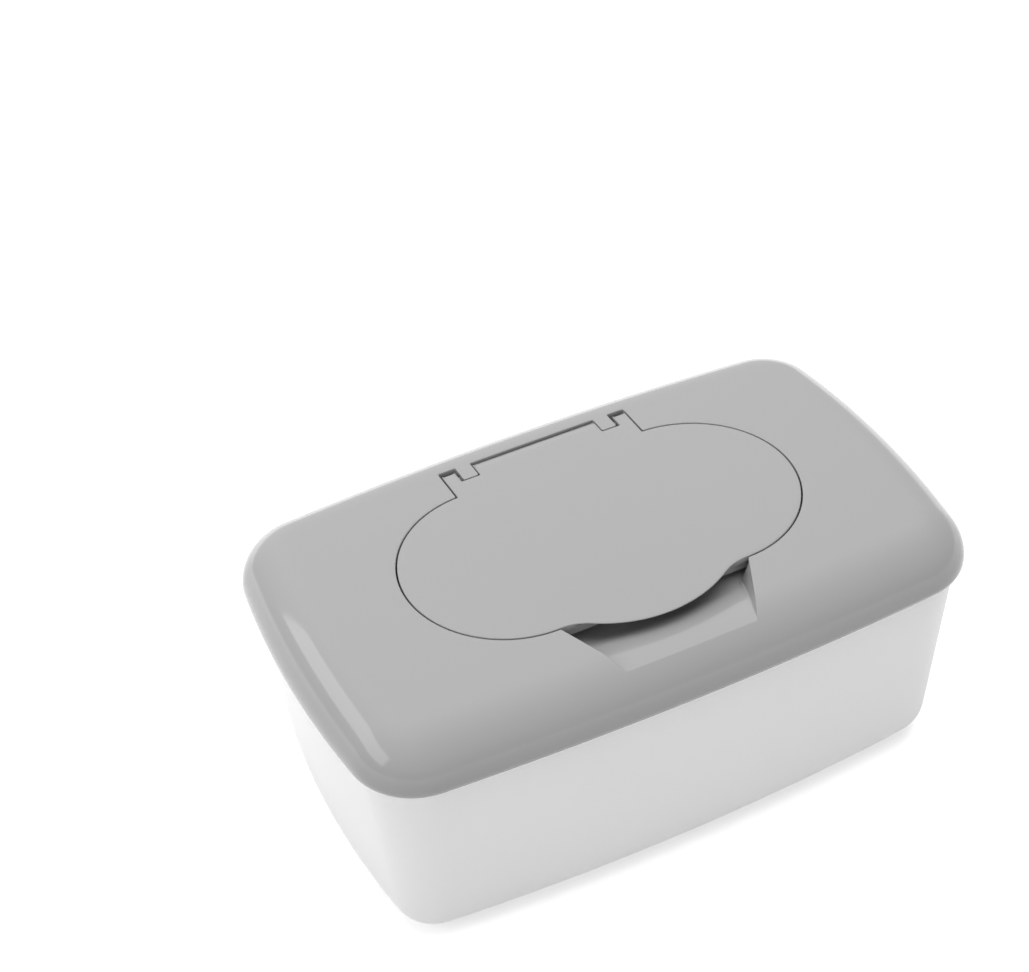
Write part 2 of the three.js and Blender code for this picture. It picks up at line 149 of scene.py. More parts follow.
@dataclass(frozen=True)
class Crown:
    """The lid's top: a shallow dome, and a rounded shoulder down to the side."""

    top: float = 92.0
    drop_across: float = 2.3
    drop_along: float = 1.4
    base: float = 75.0
    reach: float = 15.0
    squareness: float = 1.92
    outline: Outline = Outline()

    def height(self, x: Array, y: Array) -> Array:
        """The dome: the top less a share of (y / half width) squared and (x / half length) squared."""
        across = self.drop_across * (y / self.outline.half_width) ** 2
        return self.top - across - self.drop_along * (x / self.outline.half_length) ** 2

    def surface(self, x: Array, y: Array, wall: float = 0.0) -> Array:
        """The dome joined to the shoulder, or the same surface a wall further in.

        With d the depth inside the outline, cos t = (1 - d / reach) ** (1 / p) and the height is the
        base plus the dome's rise times sin(t) ** p, where p is 2 / squareness.
        """
        power = 2 / self.squareness
        share = (self.outline.depth(x, y) - wall) / (self.reach - wall)
        cosine = (1 - np.clip(share, 0, 1)) ** (1 / power)
        rise = np.sqrt(np.clip(1 - cosine**2, 0, 1)) ** power
        return self.base + (self.height(x, y) - wall - self.base) * rise


@dataclass(frozen=True)
class Hinge:
    """The flap's axis, which runs along X."""

    y: float = 43.0
    z: float = 87.8285


def arc(x: float, y: float, radius: float, start: float, end: float, steps: int) -> Array:
    """Points of an arc from start to end in degrees, both included."""
    angle = np.radians(np.linspace(start, end, steps))
    return np.stack([x + radius * np.cos(angle), y + radius * np.sin(angle)], 1)


@dataclass(frozen=True)
class Racetrack:
    """The straight middle line that the flap's, the trench's and the collar's edges go round."""

    straight: float = 31.6
    centre_y: float = -0.5
    end_angle: float = 86.0

    def end(self, radius: float, start: float, stop: float, steps: int) -> Array:
        """The right-hand end's arc, from start to stop in degrees."""
        return arc(self.straight, self.centre_y, radius, start, stop, steps)

    def corner(self, radius: float, side: int) -> Span:
        """Where the right-hand end stops, at the front for side -1 and at the rear for side 1."""
        angle = side * self.end_angle
        x, y = self.end(radius, angle, angle, 1)[0]
        return float(x), float(y)

    def outward(self, points: Array) -> Array:
        """Unit vectors away from the nearest point of the middle line."""
        near = np.clip(points[:, 0], -self.straight, self.straight)
        away = points - np.stack([near, np.full(len(points), self.centre_y)], 1)
        return away / np.hypot(*away.T)[:, None]


def rounded(corners: list[Place]) -> Array:
    """A path through corners (x, y, radius), each inner one rounded by an arc of its radius."""
    pieces: list[Array] = [np.array([corners[0][:2]])]
    for before, here, after in zip(corners, corners[1:], corners[2:]):
        place = np.array(here[:2])
        back, ahead = np.array(before[:2]) - place, np.array(after[:2]) - place
        back, ahead = back / np.hypot(*back), ahead / np.hypot(*ahead)
        half = math.acos(float(np.clip(back @ ahead, -1, 1))) / 2
        middle = (back + ahead) / np.hypot(*(back + ahead))
        centre = place + middle * here[2] / math.sin(half)
        first = place + back * here[2] / math.tan(half) - centre
        last = place + ahead * here[2] / math.tan(half) - centre
        turn = math.atan2(first[0] * last[1] - first[1] * last[0], float(first @ last))
        angle = math.atan2(first[1], first[0]) + np.linspace(0, turn, 17)
        pieces.append(centre + here[2] * np.stack([np.cos(angle), np.sin(angle)], 1))
    pieces.append(np.array([corners[-1][:2]]))
    return np.concatenate(pieces)


def quarter_round(radius: Array | float, angles: Array) -> list[tuple[Array | float, Array | float]]:
    """A rounded edge's steps: the radius times (1 - sin) and times (1 - cos) of each angle."""
    return [(radius * (1 - math.sin(a)), radius * (1 - math.cos(a))) for a in angles]


def mirrored_loop(half: Array) -> Array:
    """A closed loop from its right half, which runs from the front's middle to the rear's."""
    left = half[::-1][1:-1] * np.array([-1.0, 1.0])
    return np.concatenate([half, left])


def loop_normals(loop: Array) -> Array:
    """Unit normals to the right of a closed loop's direction, from its two neighbours."""
    tangent = np.roll(loop, -1, 0) - np.roll(loop, 1, 0)
    tangent /= np.maximum(np.hypot(tangent[:, 0], tangent[:, 1]), 1e-9)[:, None]
    return np.stack([tangent[:, 1], -tangent[:, 0]], 1)


def even_places(half: Array, partner: Array, count: int, coarse: float, partner_coarse: float) -> Array:
    """Positions along a half path, closest together where it or its partner bends.

    The weight of a stretch is its length over the coarse step, the partner's length over its own,
    and its turning over eight degrees, and the places share the summed weight evenly.

    Args:
        half: the path, as (n, 2).
        partner: what each of its points is joined to, as (n, 2).
        count: how many places to make.
        coarse: the step where the path is straight, in millimetres.
        partner_coarse: the same for the partner.

    Returns:
        Fractional row numbers into the path, both ends included.
    """
    step = np.diff(half, axis=0)
    partner_step = np.diff(partner, axis=0)
    angle = np.unwrap(np.arctan2(step[:, 1], step[:, 0]))
    turning = np.abs(np.gradient(angle))
    weight = np.hypot(step[:, 0], step[:, 1]) / coarse
    weight += np.hypot(partner_step[:, 0], partner_step[:, 1]) / partner_coarse
    weight += turning / math.radians(8)
    total = np.concatenate([[0.0], np.cumsum(weight)])
    return np.interp(np.linspace(0, total[-1], count), total, np.arange(len(half)))


def take(path: Array, places: Array) -> Array:
    """Points of a path at fractional row numbers."""
    rows = np.arange(len(path))
    return np.stack([np.interp(places, rows, path[:, i]) for i in range(path.shape[1])], 1)


def lengths_of(path: Array) -> Array:
    """The length along a path up to each of its points."""
    return np.concatenate([[0.0], np.cumsum(np.hypot(*np.diff(path, axis=0).T))])


def spread(path: Array, step: float = 0.4) -> Array:
    """The same path with a point at least every step along it."""
    length = lengths_of(path)
    places = np.union1d(length, np.arange(0, length[-1], step))
    return np.stack([np.interp(places, length, path[:, i]) for i in range(2)], 1)


def key_lengths(path: Array, keys: Keys) -> Array:
    """How far along a path the point nearest each key lies."""
    length = lengths_of(path)
    wanted = np.array(keys, float)
    return length[np.hypot(*(path[None] - wanted[:, None]).transpose(2, 0, 1)).argmin(1)]


def follow(path: Array, keys: Keys, target: Array, target_keys: Keys) -> Array:
    """For each point of a path its partner on a target, spread evenly between matching keys.

    Args:
        path: the path, as (n, 2).
        keys: places on the path.
        target: the path that the partners lie on, of any number of columns.
        target_keys: as many places on the target, in the same order.

    Returns:
        The partners, one row for each of the path's.
    """
    places = np.interp(lengths_of(path), key_lengths(path, keys), key_lengths(target, target_keys))
    length = lengths_of(target)
    return np.stack([np.interp(places, length, target[:, i]) for i in range(target.shape[1])], 1)


def joined(plan: Array, z: Array | float) -> Array:
    """Plan points with their heights."""
    return np.concatenate([plan, np.broadcast_to(z, (len(plan),))[:, None]], 1)


def placed(name: str, data: bpy.types.ID) -> Piece:
    """An object of a mesh, camera or lamp, linked to the scene."""
    made = bpy.data.objects.new(name, data)
    bpy.context.scene.collection.objects.link(made)
    return made


def surface_mesh(name: str, rows: list[Array], closed_rows: bool = True) -> Piece:
    """A mesh through rows of equally many points, each row a closed loop.

    Args:
        name: the piece's name.
        rows: loops of (n, 3) in millimetres, in order.
        closed_rows: whether the last row joins the first again.

    Returns:
        The object, with doubles merged and its faces pointing outwards.
    """
    points = np.stack(rows)
    count, around = points.shape[:2]
    index = np.arange(count * around).reshape(count, around)
    lower = index if closed_rows else index[:-1]
    upper = np.roll(index, -1, 0) if closed_rows else index[1:]
    quads = np.stack([lower, np.roll(lower, -1, 1), np.roll(upper, -1, 1), upper], -1).reshape(-1, 4)
    mesh = bpy.data.meshes.new(name)
    mesh.from_pydata((points.reshape(-1, 3) * METRES).tolist(), [], quads.tolist())
    work = bmesh.new()
    work.from_mesh(mesh)
    bmesh.ops.remove_doubles(work, verts=work.verts, dist=4e-7)
    bmesh.ops.dissolve_degenerate(work, dist=2e-7, edges=work.edges)
    bmesh.ops.recalc_face_normals(work, faces=work.faces)
    work.to_mesh(mesh)
    work.free()
    return placed(name, mesh)


def combine(base: Piece, other: Piece, operation: str) -> None:
    """Joins another closed mesh to a piece, or cuts it out, and removes the other object.

    Args:
        base: the piece, whose mesh is replaced.
        other: the closed mesh to join or cut.
        operation: "UNION" or "DIFFERENCE".
    """
    modifier = base.modifiers.new("combine", "BOOLEAN")
    modifier.operation = operation
    modifier.solver = "MANIFOLD"
    modifier.object = other
    view = bpy.context.evaluated_depsgraph_get()
    made = bpy.data.meshes.new_from_object(base.evaluated_get(view))
    before = len(base.data.polygons)
    base.modifiers.remove(modifier)
    if len(made.polygons) > before // 2:
        old = base.data
        base.data = made
        bpy.data.meshes.remove(old)
        made.name = base.name
    else:
        log.warning("%s: %s with %s left out", base.name, operation, other.name)
    bpy.data.objects.remove(other)


def smooth(piece: Piece) -> None:
    """Smooth shading, with edges past the sharp angle kept crisp."""
    piece.data.shade_smooth()
    piece.data.set_sharp_from_angle(angle=SHARP_ANGLE)


def on_side(span: Span, side: int) -> Span:
    """A span of X on the right for side 1, and its mirror image for side -1."""
    low, high = sorted((side * span[0], side * span[1]))
    return low, high


def bar(name: str, section: Array, span: Span) -> Piece:
    """A closed bar along X on a section of (y, z), its ends closed to the section's middle."""
    middle = section.mean(0)
    low, high = span
    rows = []
    for x, share in ((low, NEARLY_A_POINT), (low, 1), (high, 1), (high, NEARLY_A_POINT)):
        rows.append(np.column_stack([np.full(len(section), x), middle + (section - middle) * share]))
    return surface_mesh(name, rows, closed_rows=False)


@dataclass
class Tub:
    """The milky tub: tapered bowed walls on a rounded foot, with a bead under its rim."""

    height: float = 79.0
    lid_edge: float = 72.6
    wall: float = 1.8
    foot_round: float = 12.0
    foot_steps: tuple[Span, ...] = ((5.2, 0.8), (4.6, 0.8), (4.0, 0.4), (3.7, 0.06), (3.2, 0.0))
    floor: float = 2.6
    rim_round: float = 0.5
    bead_height: float = 76.6
    bead_half: float = 0.8
    bead_flat: float = 0.2
    bead_proud: float = 0.25
    columns: int = 420
    foot: Outline = Outline(96.0, 55.9, 13.0, 842.0, 284.0)
    top: Outline = Outline(102.4, 60.4, 18.9, 1237.4, 317.4)

    def ring(self, inset: float, z: float) -> Array:
        """The foot's outline, moved inward, plus the share z / lid edge of the way out to the top's."""
        share = np.arange(self.columns) / self.columns
        foot, _ = self.foot.at(share)
        top, _ = self.top.at(share)
        inner, _ = self.foot.inset(inset).at(share)
        return joined(inner + (top - foot) * min(z / self.lid_edge, 1.0), z)

    def pole(self, inset: float, z: float) -> list[Array]:
        """A ring shrunk towards the middle, down to a single place."""
        edge = self.ring(inset, z)
        return [edge * [share, share, 1] for share in (0.0, 0.25, 0.6, 0.9)]

    def outside(self) -> list[Array]:
        """From the underside's middle over the foot ring and the rounded foot up to the bead."""
        foot = self.foot_round
        rows = self.pole(foot + self.foot_steps[0][0], self.foot_steps[0][1])
        rows += [self.ring(foot + inset, z) for inset, z in self.foot_steps[1:]]
        rows += [self.ring(inset, z) for inset, z in quarter_round(foot, np.linspace(0, QUARTER, 13))]
        heights = np.linspace(foot, self.bead_height - self.bead_half, 14)[1:]
        return rows + [self.ring(0, z) for z in heights]

    def bead(self) -> list[Array]:
        """The bead's rings: proud in the middle, falling off evenly to the wall past its flat."""
        rows = []
        for rise in (-0.5, -self.bead_flat, self.bead_flat, 0.5, self.bead_half):
            off = max(abs(rise) - self.bead_flat, 0) / (self.bead_half - self.bead_flat)
            rows.append(self.ring(-self.bead_proud * max(1 - off, 0), self.bead_height + rise))
        return rows

    def rim(self) -> list[Array]:
        """The rim's two rounded edges, the outer one upward and the inner one down again."""
        turns = quarter_round(self.rim_round, np.linspace(0, QUARTER, 5))
        rows = [self.ring(inset, self.height - down) for down, inset in turns]
        return rows + [self.ring(self.wall - inset, self.height - down) for down, inset in turns[::-1]]

    def inside(self) -> list[Array]:
        """From under the rim down the wall and the rounded foot to the floor's middle."""
        inner_round = self.foot_round - self.wall
        heights = np.linspace(self.height - self.rim_round, self.floor + inner_round, 12)[1:]
        rows = [self.ring(self.wall, z) for z in heights]
        for inset, rise in quarter_round(inner_round, np.linspace(QUARTER, 0, 11)[1:]):
            rows.append(self.ring(self.wall + inset, self.floor + rise))
        return rows + self.pole(self.foot_round + 0.6, self.floor)[::-1]

    def build(self) -> Piece:
        """The tub as one closed surface, from the underside's middle round to the floor's."""
        rows = self.outside() + self.bead() + self.rim() + self.inside()
        made = surface_mesh("tub_shell", rows, closed_rows=False)
        smooth(made)
        return made


@dataclass
class Lid:
    """The lid: lip, shoulder and crown, and the trench, collar, thumb scoop and hinge pocket in it."""

    crown: Crown = Crown()
    track: Racetrack = Racetrack()
    hinge: Hinge = Hinge()
    edge_round: float = 0.32
    wall: float = 2.0
    trench_floor: float = 83.0
    trench_radius: float = 33.9
    trench_lean: float = 0.02
    trench_foot: float = 0.7
    scoop_front: float = -56.0
    scoop_half: float = 21.8
    scoop_rear: Span = (31.41, -34.4)
    scoop_lean: float = 2.5 / 9
    ramp_start: float = 36.0
    ramp_length: float = 20.2
    ramp_rise: float = 4.9
    ramp_power: float = 2.1
    pocket_side: float = 33.0
    pocket_front: float = 33.37
    pocket_rear: float = 46.7
    hook_inner: float = 21.95
    hook_outer: float = 27.05
    hook_front: float = 39.9
    hook_rear: float = 46.6
    slot_radius: float = 1.8
    slot_mouth: float = 1.35
    slot_span: Span = (21.2, 27.8)
    collar_radius: float = 26.4
    collar_wall: float = 1.8
    collar_top: float = 89.1
    collar_edge: float = 0.6
    under: float = 81.0
    columns: int = 620
    lip_height: float = 2.4
    lip_inset: float = 1.3
    lip_under: tuple[Span, ...] = ((2.0, 72.9), (1.9, 72.68), (1.72, 72.6), (1.5, 72.6))
    crown_step: float = 0.045

    def floor(self, x: Array, y: Array, below: float = 0.0) -> Array:
        """The trench floor, and in the scoop a ramp that flattens out at the lid's shoulder.

        With u the share of the way along the ramp and p its power, the rise is its height times
        1 - (1 - u) ** p, and the start is eased over about a millimetre. The visual floor lies a
        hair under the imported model's.

        Args:
            x: places across.
            y: places from front to rear.
            below: how far under the floor, for the underside of the bowl.

        Returns:
            The heights.
        """
        past = -self.ramp_start - y
        eased = 0.5 * (past + np.sqrt(past**2 + 1.0))
        share = np.clip(eased / self.ramp_length, 0, 1)
        rise = self.ramp_rise * (1 - (1 - share) ** self.ramp_power)
        return self.trench_floor + rise - 0.02 - below

    def edge_corners(self) -> tuple[list[Place], list[Place]]:
        """The right half of the hole's edge, as corners (x, y, radius) of the scoop and the pocket.

        The scoop's front bows like the rim, so its side lies back by the arc's height, which is
        the half width squared over twice the arc's radius.
        """
        rim = self.crown.outline
        bow = self.scoop_half**2 / (2 * (rim.long_side - rim.half_width - self.scoop_front))
        scoop = [(0, self.scoop_front, 0), (self.scoop_half, self.scoop_front + bow, 0.8)]
        pocket = [
            (self.pocket_side, self.pocket_front, 0.6),
            (self.pocket_side, self.pocket_rear, 0.6),
            (self.hook_outer, self.pocket_rear, 0.5),
            (self.hook_outer, self.hook_front, 0.7),
            (self.hook_inner, self.hook_front, 0.7),
            (self.hook_inner, self.hook_rear, 0.5),
            (0, self.hook_rear, 0),
        ]
        return [*scoop, (*self.scoop_rear, 0.7)], pocket

    def loops(self) -> Loops:
        """The hole's edge and what each of its points is joined to, as closed loops.

        The right half of the edge runs along the scoop's front, up its side, round the racetrack and
        round the hinge pocket with the hook's top in it. Partners on the outline, the collar and the
        underside follow from matching corners.

        Returns:
            The edge and its normals, the shares of the way round the outline, and the partners on
            the collar and on the underside, one row or value for each column.
        """
        scoop, pocket = self.edge_corners()
        angle, track = self.track.end_angle, self.track
        lower = rounded([*scoop, (*track.corner(self.trench_radius, -1), 0)])
        upper = rounded([(*track.corner(self.trench_radius, 1), 0), *pocket])
        end = track.end(self.trench_radius, -angle, angle, 420)
        half = spread(np.concatenate([lower[:-1], end, upper[1:]]))
        keys = [(x, y) for x, y, _ in scoop + pocket]
        # The key lists below say where each corner of the edge is joined to, corner by corner.
        share, wide = np.linspace(0, 0.5, 6001), self.crown.outline.half_width
        rim = self.crown.outline.at(share)[0]
        rim_keys = [(x, -wide) for x in (0, 21.8, 34)]
        rim_keys += [(x, wide) for x in (34, 32.3, 27.6, 26.6, 22.6, 22.0, 0)]
        outer_length = np.interp(lengths_of(half), key_lengths(half, keys), key_lengths(rim, rim_keys))
        outer_share = np.interp(outer_length, lengths_of(rim), share)
        collar_end = track.end(self.collar_radius, -90, 90, 600)
        front, rear = -26.9, 25.9
        collar = spread(np.concatenate([[[0, front]], collar_end, [[0, rear]]]))
        collar_keys = [(x, front) for x in (0, 20, 28)]
        collar_keys += [(x, rear) for x in (30.8, 29.6, 27.7, 27.3, 21.7, 21.3, 0)]
        inner = follow(half, keys, collar, collar_keys)
        hidden_front: Keys = [(0, -54), (24.6, -53.8), (33.3, -36.2)]
        hidden_end = track.end(self.trench_radius + self.wall, -84, 84, 400)
        side, start, rear = 35.0, 36.0, 48.7
        hidden_rear = [(side, start), (side, rear), (0, rear)]
        hidden = spread(np.concatenate([hidden_front, hidden_end, hidden_rear]))
        hidden_keys = [*hidden_front, (side, start)]
        hidden_keys += [(x, rear) for x in (side, 27.6, 26.6, 22.6, 22.0, 0)]
        under = follow(half, keys, hidden, hidden_keys)
        outer = self.crown.outline.at(outer_share)[0]
        places = even_places(half, outer, self.columns // 2 + 1, 1.3, 1.5)
        hole = mirrored_loop(take(half, places))
        shares = np.interp(places, np.arange(len(half)), outer_share)
        return {
            "hole": hole,
            "normal": loop_normals(hole),
            "share": np.concatenate([shares, 1 - shares[::-1][1:-1]]),
            "collar": mirrored_loop(take(inner, places)),
            "under": mirrored_loop(take(under, places)),
        }

    def rim_ring(self, share: Array, inset: float, z: float) -> Array:
        """The outline moved inward, at a height."""
        return joined(self.crown.outline.inset(inset).at(share)[0], z)

    def top_rows(self, loops: Loops) -> list[Array]:
        """Lip, shoulder and crown, from the lower edge up to the hole's rounded edge.

        A column runs from the rim to the hole. Its rings share the eased depth t evenly, where t is
        the shoulder's own angle within its reach and grows with the depth past it.
        """
        crown, share = self.crown, loops["share"]
        rows = [self.rim_ring(share, inset, z) for inset, z in self.lip_under]
        for angle in np.radians(np.linspace(82, 0, 8)):
            inset = self.lip_inset * (1 - math.cos(angle))
            rows.append(self.rim_ring(share, inset, crown.base - self.lip_height * math.sin(angle)))
        start = loops["hole"] + loops["normal"] * self.edge_size(loops)[:, None]
        rim = crown.outline.at(share)[0]
        deep = crown.outline.depth(start[:, 0], start[:, 1])
        power, reach = 2 / crown.squareness, crown.reach
        on_shoulder = np.arccos(np.clip(1 - deep / reach, 0, 1) ** (1 / power))
        eased = np.where(deep < reach, on_shoulder, QUARTER + (deep - reach) * self.crown_step)
        for part in np.linspace(0, 1, 38)[1:]:
            angle = eased * part
            curved = reach * (1 - np.cos(np.minimum(angle, QUARTER)) ** power)
            depth = np.where(angle < QUARTER, curved, reach + (angle - QUARTER) / self.crown_step)
            way = np.clip(depth / deep, 0, 1) if part < 1 else np.ones_like(deep)
            plan = rim + (start - rim) * way[:, None]
            rows.append(joined(plan, crown.surface(plan[:, 0], plan[:, 1])))
        return rows

    def wall_height(self, loops: Loops) -> Array:
        """How far the floor lies under the hole's edge."""
        x, y = loops["hole"].T
        return np.maximum(self.crown.surface(x, y) - self.floor(x, y), 0)

    def edge_size(self, loops: Loops) -> Array:
        """The edge's rounding, smaller where the scoop's wall runs out."""
        return np.minimum(self.edge_round, self.wall_height(loops) * 0.4)

    def wall_rows(self, loops: Loops) -> list[Array]:
        """The edge's rounding, the wall of the trench, scoop and pocket, and the wall's foot."""
        hole, normal = loops["hole"], loops["normal"]
        tall, edge = self.wall_height(loops), self.edge_size(loops)
        x, y = hole.T
        in_scoop = (y < self.scoop_rear[1] - 0.8) & (np.abs(x) < self.scoop_rear[0] - 0.21)
        lean = np.where(in_scoop, self.scoop_lean, self.trench_lean)
        foot_round = np.minimum(self.trench_foot, tall * 0.3)
        top = self.crown.surface(*hole.T)
        rows = []
        for inset, down in quarter_round(edge, np.radians([20, 40, 60, 80, 90])):
            rows.append(joined(hole + normal * inset[:, None], top - down))
        for part in (0.33, 0.66, 1.0):
            down = edge + (tall - edge - foot_round) * part
            rows.append(joined(hole - normal * ((down - edge) * lean)[:, None], top - down))
        shift = (tall - edge - foot_round) * lean
        for rise, inset in quarter_round(foot_round, np.radians([30, 60, 90])):
            rows.append(joined(hole - normal * (shift + inset)[:, None], top - tall + rise))
        return rows

    def collar_profile(self) -> list[Span]:
        """The collar's section as (shift outward, height): up the outside, over, down the inside."""
        low, high, soft, wall = self.trench_floor, self.collar_top, self.collar_edge, self.collar_wall
        steps = quarter_round(soft, np.radians([30, 60, 90]))
        profile = [(0.6, low), (0.18, low + 0.18), (0.0, low + 0.6), (0.0, high - soft)]
        profile += [(-over, high - down) for down, over in steps]
        profile += [(-wall + over, high - down) for over, down in steps]
        profile += [(-wall + 0.02, high - 2.0), (-wall, self.under + 0.5)]
        return profile + [(-wall + 0.2, self.under)]

    def bowl_rows(self, loops: Loops, foot: Array) -> list[Array]:
        """The floor from the wall's foot to the collar, the collar, and the bowl's underside."""
        collar = loops["collar"]
        out = self.track.outward(collar)
        profile = self.collar_profile()
        target = collar + out * profile[0][0]
        rows = []
        for part in (0.1, 0.2, 0.3, 0.4, 0.5, 0.6, 0.7, 0.78, 0.86, 0.94):
            plan = foot + (target - foot) * part
            rows.append(joined(plan, self.floor(*plan.T)))
        rows += [joined(collar + out * shift, z) for shift, z in profile]
        start = collar + out * (0.3 - self.collar_wall)
        for part in (0.25, 0.5, 0.75, 1.0):
            plan = start + (loops["under"] - start) * part
            rows.append(joined(plan, self.floor(*plan.T, below=self.wall)))
        return rows

    def inner_rows(self, loops: Loops) -> list[Array]:
        """The underside of the shoulder, the locating ring, the seat and the inside of the skirt."""
        share, under = loops["share"], loops["under"]
        profile = [(6.2, 79.0), (6.2, 76.0), (6.0, 75.6), (5.0, 75.6), (4.8, 76.0), (4.8, 79.1)]
        profile += [(4.6, 79.3), (2.3, 79.3), (2.0, 79.0), (2.0, 75.2), (2.2, 74.6), (2.2, 74.2)]
        profile += [(2.0, 73.6)]
        ring = self.crown.outline.inset(profile[0][0]).at(share)[0]
        rows = []
        for part in (0.0, 0.2, 0.4, 0.6, 0.8, 1.0):
            plan = under + (ring - under) * part
            rows.append(joined(plan, self.crown.surface(*plan.T, wall=self.wall)))
        return rows + [self.rim_ring(share, inset, z) for inset, z in profile]

    def hook_space(self, side: int) -> Piece:
        """What is cut from a hook: a round slot, its narrower mouth, and the room below."""
        y, slot, mouth = self.hinge.y, self.slot_radius, self.slot_mouth
        corner = math.degrees(math.acos(mouth / slot))
        below = self.hinge.z - slot
        front, rear, floor = 39.2, 46.4, 83.5
        round_part = arc(y, self.hinge.z, slot, -corner, 180 + corner, 25)
        room = [[y - mouth, below], [front, below], [front, floor], [rear, floor], [rear, below]]
        section = np.concatenate([round_part, room, [[y + mouth, below]]])
        return bar("hook_space", section, on_side(self.slot_span, side))

    def build(self) -> Piece:
        """The lid as one closed surface, with the hooks' slots cut out."""
        loops = self.loops()
        walls = self.wall_rows(loops)
        rows = self.top_rows(loops) + walls + self.bowl_rows(loops, walls[-1][:, :2])
        made = surface_mesh("lid_shell", rows + self.inner_rows(loops))
        for side in (-1, 1):
            combine(made, self.hook_space(side), "DIFFERENCE")
        smooth(made)
        return made


